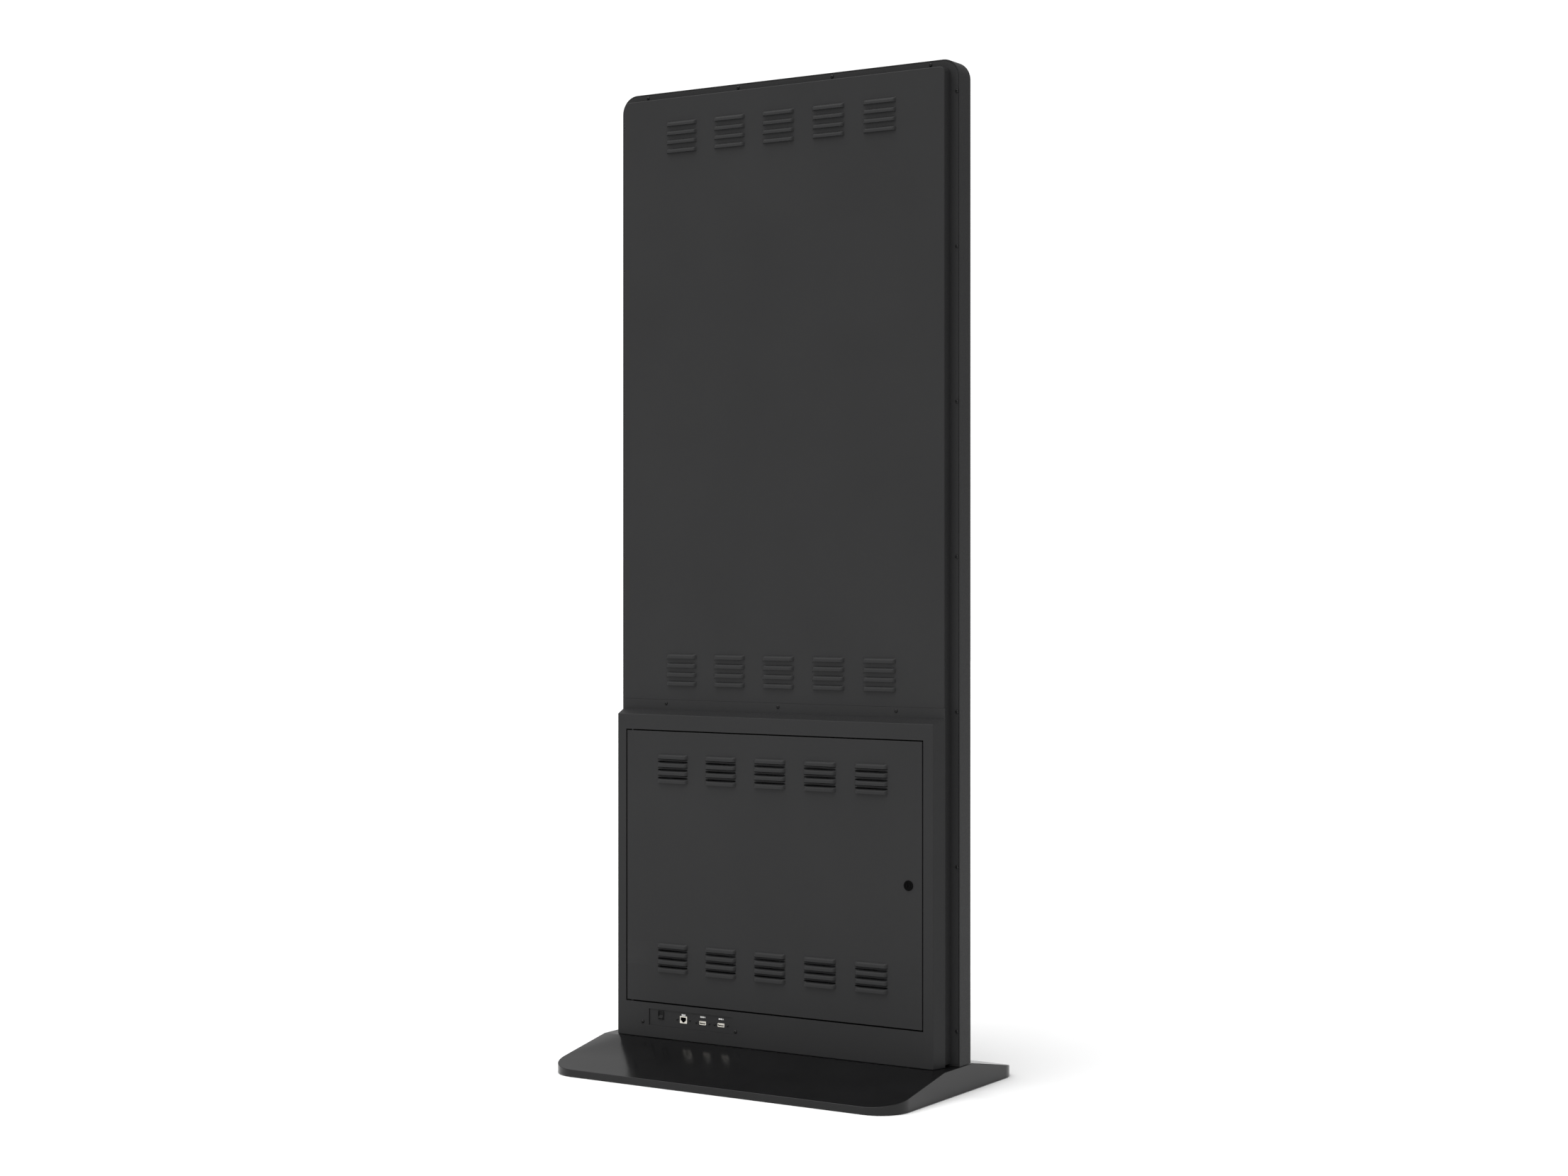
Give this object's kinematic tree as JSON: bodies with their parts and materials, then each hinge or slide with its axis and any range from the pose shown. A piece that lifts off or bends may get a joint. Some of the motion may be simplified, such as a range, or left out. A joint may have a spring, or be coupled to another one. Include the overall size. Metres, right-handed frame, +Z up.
{
  "type": "touchscreen kiosk",
  "caption": "Slim free-standing portrait touchscreen kiosk on a sloped black base, with a louvred rear cover and a locked service door.",
  "frame": {"origin": "middle of the base's footprint, on the floor", "axes": "+Z up, +Y towards the back, where the service door is, +X to the left of someone who stands behind the kiosk"},
  "size_m": [0.763, 0.49, 1.9],
  "materials": {
    "powder_coat": "fine-textured charcoal powder coat on sheet steel, satin",
    "gloss_base": "high-gloss black lacquer",
    "front_glass": "tempered glass with a black printed back, mirror smooth",
    "display_face": "anti-glare display face, switched off",
    "zinc_steel": "black zinc plating on steel",
    "black_screw": "black oxide on steel",
    "lock_black": "black plated lock",
    "rubber": "matt black rubber",
    "black_plastic": "fine-grained black moulding",
    "socket_shell": "pale nickel-coloured socket shell",
    "circuit_board": "green solder mask",
    "player_case": "dark anodised aluminium case",
    "supply_case": "black zinc plated steel case"
  },
  "bodies": {
    "stand": {"base_plinth": "gloss_base", "base_plate": "zinc_steel", "foot_pad_1": "rubber", "foot_pad_2": "rubber", "foot_pad_3": "rubber", "foot_pad_4": "rubber", "cable_grommet": "rubber", "upright_left": "zinc_steel", "upright_right": "zinc_steel", "display_rail_lower": "zinc_steel", "display_rail_upper": "zinc_steel", "front_frame": "powder_coat", "front_glass": "front_glass", "display_gasket": "rubber", "display_module": "display_face", "display_driver_board": "circuit_board", "touch_controller_board": "circuit_board", "rear_cover": "powder_coat", "cabinet_shell": "powder_coat", "connection_plate": "powder_coat", "hinge_pin_upper": "zinc_steel", "hinge_pin_lower": "zinc_steel", "hinge_washer": "black_plastic", "network_socket": "socket_shell", "usb_socket_1": "socket_shell", "usb_socket_2": "socket_shell", "switch_housing": "black_plastic", "equipment_tray": "zinc_steel", "media_player": "player_case", "power_supply": "supply_case", "speaker_left": "black_plastic", "speaker_right": "black_plastic", "fan_frame_left": "black_plastic", "fan_frame_right": "black_plastic", "rim_screw_01": "black_screw", "rim_screw_02": "black_screw", "rim_screw_03": "black_screw", "rim_screw_04": "black_screw", "rim_screw_05": "black_screw", "rim_screw_06": "black_screw", "rim_screw_07": "black_screw", "rim_screw_08": "black_screw", "rim_screw_09": "black_screw", "rim_screw_10": "black_screw", "rim_screw_11": "black_screw", "rim_screw_12": "black_screw", "rim_screw_13": "black_screw", "rim_screw_14": "black_screw", "rim_screw_15": "black_screw", "rim_screw_16": "black_screw", "rim_screw_17": "black_screw", "rim_screw_18": "black_screw"},
    "door": {"door_panel": "powder_coat", "lock_body": "lock_black", "lock_nut": "zinc_steel"},
    "lock": {"lock_plug": "lock_black", "lock_cam": "zinc_steel"},
    "rocker": {"switch_rocker": "black_plastic"},
    "fan_left": {"fan_rotor_left": "black_plastic"},
    "fan_right": {"fan_rotor_right": "black_plastic"}
  },
  "joints": [
    {"name": "door_hinge", "type": "hinge", "parent": "stand", "child": "door", "pos_m": [0.3214, 0.042, 0.38375], "axis": [0, 0, -1], "range_deg": [0, 110]},
    {"name": "lock_turn", "type": "hinge", "parent": "door", "child": "lock", "pos_m": [-0.3022, 0.0475, 0.383], "axis": [0, 1, 0], "range_deg": [0, 90]},
    {"name": "rocker_tilt", "type": "hinge", "parent": "stand", "child": "rocker", "pos_m": [0.2519, 0.0449, 0.0957], "axis": [-1, 0, 0], "range_deg": [0, 16]},
    {"name": "fan_left_spin", "type": "hinge", "parent": "stand", "child": "fan_left", "pos_m": [0.1115, 0.0102, 1.803], "axis": [0, 1, 0], "continuous": true},
    {"name": "fan_right_spin", "type": "hinge", "parent": "stand", "child": "fan_right", "pos_m": [-0.1115, 0.0102, 1.803], "axis": [0, 1, 0], "continuous": true}
  ]
}
